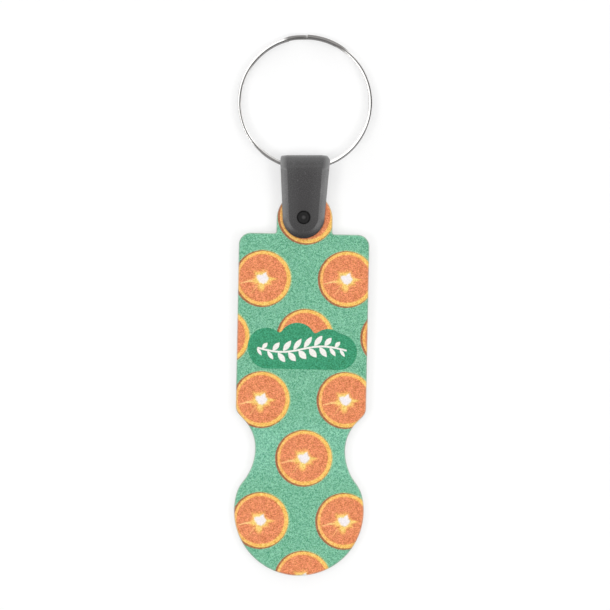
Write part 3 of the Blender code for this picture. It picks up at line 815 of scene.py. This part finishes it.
def soft_dark_plastic():
    """Satin dark plastic with painted light: a painted sheen on the fold, painted highlights along its edges,
    and painted shade towards its round end and in the hole round the stud's head.
    """
    tree, shader, material = new_material("soft_dark_plastic")
    place = millimetres(tree, strap_matrix())
    cloudy = tree.noise(place, 0.5, 3.0)
    grain = tree.noise(place, 7.0, 3.0, 0.65)
    across = tree.parts(place)
    look = tree.mix(cloudy, colour(38, 36, 37), colour(46, 44, 45))
    # Painted sheen: the fold is painted paler, for the light it catches where it bends.
    fold_sheen = tree.spread(across[1], 7.5, 11.2, smooth=False)
    look = tree.over(look, fold_sheen, (102, 102, 102), fold_sheen)
    # Painted shade: darker towards the strap's round end.
    look = tree.over(look, tree.spread(across[1], 4.0, -4.0, smooth=False), (24, 22, 23), 0.85)
    from_edge = strap_edge_distance(tree, across)
    off_end = tree.spread(across[1], -3.4, 1.0, 0.1, 1.0)
    # Painted sheen over the face near the strap's edges.
    edge_sheen = tree.spread(from_edge, 3.2, 1.0, 0.0, 0.26, smooth=False)
    look = tree.over(look, edge_sheen, (96, 96, 96), off_end)
    # Painted highlight along the bevelled edges, for the side light they reflect.
    edge_highlight = tree.spread(from_edge, 0.95, 0.0, 0.0, 0.9, smooth=False)
    look = tree.over(look, edge_highlight, (112, 112, 112), off_end)
    # Painted highlight on the edges at the fold.
    fold_edge_highlight = tree.spread(from_edge, 1.3, 0.0, 0.0, 0.8, smooth=False)
    look = tree.over(look, fold_edge_highlight, (150, 150, 150), tree.spread(across[1], 8.3, 9.0))
    look = tree.over(look, tree.spread(grain, 0.5, 0.75), (70, 68, 70), 0.3)

    stretched = tree.vector("MULTIPLY", place, (3.5, 0.55, 1.0))
    scuffs = tree.spread(tree.noise(stretched, 1.0, 2.0), 0.69, 0.76)
    look = tree.over(look, scuffs, (120, 118, 120), 0.45)

    # Painted shade in the hole round the stud's head, with the tip left out; the hole is also made rougher.
    radius = tree.vector("LENGTH", tree.vector("MULTIPLY", place, (1, 1, 0)))
    hole_shade = tree.within(radius, HEAD_HOLE_DIAMETER / 2 / MM, 0.05)
    off_tip = tree.spread(radius, 0.15, 0.5)
    look = tree.over(look, hole_shade, (6, 5, 6), off_tip)
    rough = tree.spread(grain, 0.3, 0.7, 0.22, 0.3)
    dull = tree.math("MULTIPLY", hole_shade, tree.spread(off_tip, 0, 1, 0.5, 1.0))
    rough = tree.math("MULTIPLY_ADD", dull, 0.5, rough)
    rough = tree.math("MULTIPLY_ADD", scuffs, 0.1, rough)
    shader.inputs["Specular IOR Level"].default_value = 0.46
    relief = tree.math("ADD", grain, tree.math("MULTIPLY", tree.noise(place, 2.0, 2.0), 0.5))
    set_surface(tree, shader, look, rough, relief, 0.3, 0.00002)
    return material


def ring_steel():
    """Bright spring steel, drawn along the strip, with a thin line of painted dark reflection along it and
    painted grey reflection, also rougher, on some stretches.
    """
    tree, shader, material = new_material("ring_steel")
    strip = tree.add("ShaderNodeAttribute", attribute_name="strip_place").outputs["Vector"]
    across = tree.parts(strip)[2]
    drawn = tree.noise(tree.vector("MULTIPLY", strip, (0.25, 26.0, 1.0)), 1.0, 3.0, 0.6)
    tarnish = tree.noise(tree.vector("MULTIPLY", strip, (0.35, 3.0, 1.0)), 1.0, 3.0)
    look = tree.mix(drawn, colour(240, 239, 237), colour(252, 251, 249))
    look = tree.over(look, tree.spread(tarnish, 0.55, 0.85), (190, 187, 183), 0.25)
    dull_grey_reflection = tree.add("ShaderNodeAttribute", attribute_name="strip_wear").outputs["Fac"]
    # Painted grey reflection on the raised stretches and one lower stretch, which are also made rougher
    # below.
    look = tree.over(look, dull_grey_reflection, (108, 105, 103), 0.85)
    # Painted dark reflection: a thin dark line that wanders across the strip's face.
    line = tree.parts(tree.add("ShaderNodeAttribute", attribute_name="strip_line").outputs["Vector"])
    off_line = tree.math("ABSOLUTE", tree.math("SUBTRACT", across, line[0]))
    beyond = tree.math("SUBTRACT", off_line, line[1])
    on_line = tree.spread(beyond, 0.03, -0.03)
    look = tree.over(look, on_line, (58, 56, 55), tree.spread(dull_grey_reflection, 0.0, 1.0, 0.92, 0.6))
    shader.inputs["Metallic"].default_value = 1.0
    rough = tree.spread(drawn, 0.3, 0.7, 0.16, 0.28)
    rough = tree.math("MULTIPLY_ADD", dull_grey_reflection, 0.15, rough)
    set_surface(tree, shader, look, rough, drawn, 0.15, 0.00001)
    return material


# Split ring by Geometry Nodes: a strip swept along two turns


RING_INPUTS = {
    "Mean Radius": RING_MEAN_RADIUS,
    "Turn Pitch": RING_PITCH,
    "Strip Radial": RING_STRIP_RADIAL,
    "Strip Axial": RING_STRIP_AXIAL,
    "Strip Rounding": 0.00013,
    "Jog Start": 88.0,
    "Jog Span": 16.0,
    "End Gap": 0.35,
    "End Lean": 7.0,
}
# Round the ring, as (degrees, value): the strip's outward lean in degrees, how far it is out of round in
# millimetres, where it is painted grey as a dark reflection and made rougher, and the place and half width in
# millimetres of the painted dark reflection line along it
STRIP_LEAN = [
    (0, -4.0), (30, -3.0), (48, 0.0), (60, 2.0), (75, 5.0), (90, 8.0), (120, 8.0), (150, 6.0), (170, 2.0),
    (185, 0.0), (215, 0.0), (238, -3.0), (251, 0.0), (289, 0.0), (300, -7.0), (322, -7.0), (340, -4.0),
]
STRIP_OUT_OF_ROUND = [(0, 0.0), (240, 0.0), (270, 0.04), (300, 0.08), (315, 0.06), (330, 0.02), (345, 0.0)]
STRIP_GREY_REFLECTION = [(216, 0.0), (228, 0.5), (252, 0.7), (262, 0.0)]
LINE_PLACE = [
    (0, 0.19), (15, 0.15), (30, 0.12), (45, 0.03), (55, -0.1), (65, -0.25), (120, -0.25), (135, -0.25),
    (150, -0.18), (165, -0.12), (180, -0.07), (195, -0.04), (205, 0.02), (220, 0.07), (232, 0.14),
    (244, 0.16), (270, 0.2), (298, 0.3), (325, 0.28), (345, 0.26),
]
LINE_HALF_WIDTH = [
    (0, 0.12), (50, 0.11), (120, 0.11), (180, 0.1), (215, 0.11), (232, 0.18), (250, 0.2), (262, 0.12),
]
# In degrees, where the strip is raised: before the upper end, and past the jog's start and end, one turn on
END_RISE_DEG = (42.0, 32.0)
JOG_RISE_DEG = (358.0, 362.0)
JOG_FALL_DEG = (366.0, 360.0)


def ring_tree():
    """The node group that winds the strip into two turns and marks where each point lies on it."""
    group = bpy.data.node_groups.new("split_ring_coil", "GeometryNodeTree")
    group.interface.new_socket("Geometry", in_out="OUTPUT", socket_type="NodeSocketGeometry")
    for name, value in RING_INPUTS.items():
        socket = group.interface.new_socket(name, in_out="INPUT", socket_type="NodeSocketFloat")
        socket.default_value = value
    steps = group.interface.new_socket("Steps", in_out="INPUT", socket_type="NodeSocketInt")
    steps.default_value = RING_STEPS
    group.interface.new_socket("Finish", in_out="INPUT", socket_type="NodeSocketMaterial")
    tree = Tree(group)
    sizes = tree.add("NodeGroupInput").outputs
    points = tree.add("GeometryNodeMeshLine", {"Count": sizes["Steps"], "Offset": (0, 0, MM)})
    index = tree.add("GeometryNodeInputIndex").outputs[0]

    jog_start = sizes["Jog Start"]
    jog_end = tree.math("ADD", jog_start, sizes["Jog Span"])
    start = tree.math("ADD", jog_end, sizes["End Gap"])
    end = tree.math("SUBTRACT", tree.math("ADD", jog_start, 2 * FULL_TURN_DEG), sizes["End Gap"])
    share = tree.math("DIVIDE", index, tree.math("SUBTRACT", sizes["Steps"], 1.0))
    turn = tree.math("MULTIPLY_ADD", tree.math("SUBTRACT", end, start), share, start)
    crossing = [tree.math("ADD", edge, FULL_TURN_DEG) for edge in (jog_start, jog_end)]
    climb = tree.spread(turn, *crossing, -0.5, 0.5)
    angle = tree.math("RADIANS", turn)
    half_turn_on = tree.math("ADD", turn, FULL_TURN_DEG / 2)
    round_share = tree.math("FRACT", tree.math("DIVIDE", half_turn_on, FULL_TURN_DEG))
    off_round = tree.by_angle(round_share, STRIP_OUT_OF_ROUND, -0.4, 0.4)
    radius = tree.math("MULTIPLY_ADD", off_round, MM, sizes["Mean Radius"])
    place = tree.add(
        "ShaderNodeCombineXYZ",
        {
            "X": tree.math("MULTIPLY", tree.math("COSINE", angle), radius),
            "Y": tree.math("MULTIPLY", tree.math("SINE", angle), radius),
            "Z": tree.math("MULTIPLY", climb, sizes["Turn Pitch"]),
        },
    ).outputs[0]
    coil = tree.add("GeometryNodeSetPosition", {"Geometry": points.outputs[0], "Position": place}).outputs[0]
    coil = tree.add("GeometryNodeMeshToCurve", {"Mesh": coil}).outputs[0]
    coil = tree.add("GeometryNodeSetCurveNormal", {"Curve": coil}, mode="Z_UP").outputs[0]
    at_end = tree.spread(turn, *[tree.math("SUBTRACT", end, before) for before in END_RISE_DEG])
    rise = tree.spread(turn, *[tree.math("ADD", jog_start, past) for past in JOG_RISE_DEG])
    fall = tree.spread(turn, *[tree.math("ADD", jog_end, past) for past in JOG_FALL_DEG])
    at_jog = tree.math("MULTIPLY", rise, fall)
    raised = tree.math("MAXIMUM", at_end, at_jog)
    lean = tree.by_angle(round_share, STRIP_LEAN, -12.0, 12.0)
    lean = tree.math("MULTIPLY_ADD", raised, sizes["End Lean"], lean)
    # Where the steel gets painted grey reflection and more roughness: the listed stretch and the raised
    # stretches.
    dull = tree.by_angle(round_share, STRIP_GREY_REFLECTION, 0.0, 1.0)
    grey_reflection_mask = tree.math("MAXIMUM", raised, dull)
    # Place and half width of the painted dark reflection line.
    line_place = tree.by_angle(round_share, LINE_PLACE, -0.45, 0.45)
    line_width = tree.by_angle(round_share, LINE_HALF_WIDTH, 0.0, 0.4)
    line = tree.add("ShaderNodeCombineXYZ", {"X": line_place, "Y": line_width}).outputs[0]
    tilt = tree.math("RADIANS", lean)
    coil = tree.add("GeometryNodeSetCurveTilt", {"Curve": coil, "Tilt": tilt}).outputs[0]
    length = tree.add("GeometryNodeSplineParameter").outputs["Length"]
    coil = tree.add("GeometryNodeCaptureAttribute", {"Geometry": coil}, domain="POINT")
    coil.capture_items.new("FLOAT", "Along")
    tree.links.new(length, coil.inputs["Along"])
    for kind, name, value in (("FLOAT", "Wear", grey_reflection_mask), ("VECTOR", "Line", line)):
        coil.capture_items.new(kind, name)
        tree.links.new(value, coil.inputs[name])

    inputs = {"Width": sizes["Strip Radial"], "Height": sizes["Strip Axial"]}
    section = tree.add("GeometryNodeCurvePrimitiveQuadrilateral", inputs).outputs[0]
    inputs = {"Curve": section, "Count": 5, "Radius": sizes["Strip Rounding"]}
    section = tree.add("GeometryNodeFilletCurve", inputs, mode="POLY").outputs[0]
    spot = tree.add("GeometryNodeInputPosition").outputs[0]
    section_marks = tree.add("GeometryNodeCaptureAttribute", {"Geometry": section}, domain="POINT")
    section_marks.capture_items.new("VECTOR", "Across")
    tree.links.new(spot, section_marks.inputs["Across"])
    swept = tree.add(
        "GeometryNodeCurveToMesh",
        {"Curve": coil.outputs[0], "Profile Curve": section_marks.outputs[0], "Fill Caps": True},
    ).outputs[0]

    across = tree.parts(section_marks.outputs["Across"])
    mark = tree.add(
        "ShaderNodeCombineXYZ",
        {
            "X": tree.math("DIVIDE", coil.outputs["Along"], MM),
            "Y": tree.math("DIVIDE", tree.math("ADD", across[0], across[1]), MM),
            "Z": tree.math("DIVIDE", across[0], MM),
        },
    ).outputs[0]
    marked = swept
    for kind, name, value in (
        ("FLOAT_VECTOR", "strip_place", mark),
        ("FLOAT", "strip_wear", coil.outputs["Wear"]),
        ("FLOAT_VECTOR", "strip_line", coil.outputs["Line"]),
    ):
        store = tree.add("GeometryNodeStoreNamedAttribute", data_type=kind, domain="POINT")
        for socket, held in (("Geometry", marked), ("Name", name), ("Value", value)):
            tree.join(store.inputs[socket], held)
        marked = store.outputs[0]
    whole = tree.add("GeometryNodeRealizeInstances", {"Geometry": marked}).outputs[0]
    whole = tree.add("GeometryNodeSetMaterial", {"Geometry": whole, "Material": sizes["Finish"]}).outputs[0]
    tree.add("NodeGroupOutput", {"Geometry": whole})
    return group


def ring_mesh(material):
    """The ring as a plain mesh, with its place along the strip in its attributes."""
    carrier = shown("split_ring_coil", bpy.data.meshes.new("split_ring_coil"))
    modifier = carrier.modifiers.new("coil", "NODES")
    group = ring_tree()
    modifier.node_group = group
    values = {**RING_INPUTS, "Steps": RING_STEPS, "Finish": material}
    for item in group.interface.items_tree:
        if item.in_out == "INPUT":
            modifier[item.identifier] = values[item.name]
    return mesh_of(carrier, "split_ring_coil")


# Scene


def lamp(name, place, size, power):
    """A soft rectangular lamp aimed at the middle."""
    light = bpy.data.lights.new(name, "AREA")
    light.shape = "RECTANGLE"
    light.size = size[0]
    light.size_y = size[1]
    light.energy = power
    obj = shown(name, light)
    obj.location = place
    obj.rotation_euler = (Vector() - Vector(place)).to_track_quat("-Z", "Y").to_euler()


def studio_world():
    """A dim room with one bright side, beyond the ring. The camera sees plain white."""
    world = bpy.data.worlds.new("studio")
    world.use_nodes = True
    tree = Tree(world.node_tree)
    world.node_tree.nodes.clear()
    direction = tree.add("ShaderNodeTexCoord").outputs["Generated"]
    light = tree.spread(tree.parts(direction)[1], 0.0, 0.8, 0.13, 1.0)
    around = tree.add("ShaderNodeBackground", {"Color": (1, 1, 1, 1), "Strength": light}).outputs[0]
    white = tree.add("ShaderNodeBackground", {"Color": (1, 1, 1, 1), "Strength": 1.0}).outputs[0]
    seen = tree.add("ShaderNodeLightPath").outputs["Is Camera Ray"]
    both = tree.add("ShaderNodeMixShader", {"Fac": seen})
    tree.links.new(around, both.inputs[1])
    tree.links.new(white, both.inputs[2])
    tree.add("ShaderNodeOutputWorld", {"Surface": both.outputs[0]})
    bpy.context.scene.world = world


def studio_floor():
    """A pale floor. The camera and reflections see it half plain white and half lit, with its shadows."""
    tree, shader, material = new_material("pale_floor")
    shader.inputs["Base Color"].default_value = (0.93, 0.93, 0.93, 1)
    shader.inputs["Roughness"].default_value = 0.9
    shader.inputs["Specular IOR Level"].default_value = 0.0
    rays = tree.add("ShaderNodeLightPath").outputs
    seen = tree.math("MAXIMUM", rays["Is Camera Ray"], rays["Is Glossy Ray"])
    seen = tree.math("MAXIMUM", seen, rays["Is Transmission Ray"])
    inputs = {"Color": (1, 1, 1, 1), "Strength": FLOOR_WHITE_STRENGTH}
    white = tree.add("ShaderNodeEmission", inputs).outputs[0]
    both = tree.add("ShaderNodeMixShader", {"Fac": tree.math("MULTIPLY", seen, FLOOR_WHITE_SHARE)})
    tree.links.new(shader.outputs[0], both.inputs[1])
    tree.links.new(white, both.inputs[2])
    tree.links.new(both.outputs[0], material.node_tree.nodes["Material Output"].inputs["Surface"])
    mesh = bpy.data.meshes.new("floor")
    half = FLOOR_HALF_WIDTH
    corners = [(-half, -half, 0), (half, -half, 0), (half, half, 0), (-half, half, 0)]
    mesh.from_pydata(corners, [], [(0, 1, 2, 3)])
    mesh.materials.append(material)
    floor = shown("floor", mesh)


def portrait_camera():
    data = bpy.data.cameras.new("portrait")
    data.lens = CAMERA_LENS_MM
    data.sensor_width = 36.0
    data.clip_start = 0.01
    data.clip_end = 20.0
    camera = shown("portrait", data)
    camera.location = CAMERA_PLACE
    camera.rotation_euler = (0, 0, math.radians(CAMERA_TURN_DEG))
    bpy.context.scene.camera = camera


def main():
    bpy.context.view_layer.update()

    plastic = printed_plastic()
    plate = finished_piece("printed_coin_plate", plate_mesh(), plastic, plate_matrix(), smooth_deg=40)
    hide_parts("coin_plate")
    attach(plate, "plate")

    dark = soft_dark_plastic()
    strap = finished_piece("folded_snap_strap", strap_mesh(), dark, strap_matrix(), smooth_deg=32)
    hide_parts("strap")
    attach(strap, "snap_strap")

    steel = ring_steel()
    ring = finished_piece("wound_split_ring", ring_mesh(steel), steel, ring_matrix(), smooth_deg=40)
    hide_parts("split_ring")
    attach(ring, "ring")

    studio_world()
    studio_floor()
    for values in LAMPS:
        lamp(*values)
    portrait_camera()
    bpy.context.scene.view_settings.view_transform = "Standard"


main()
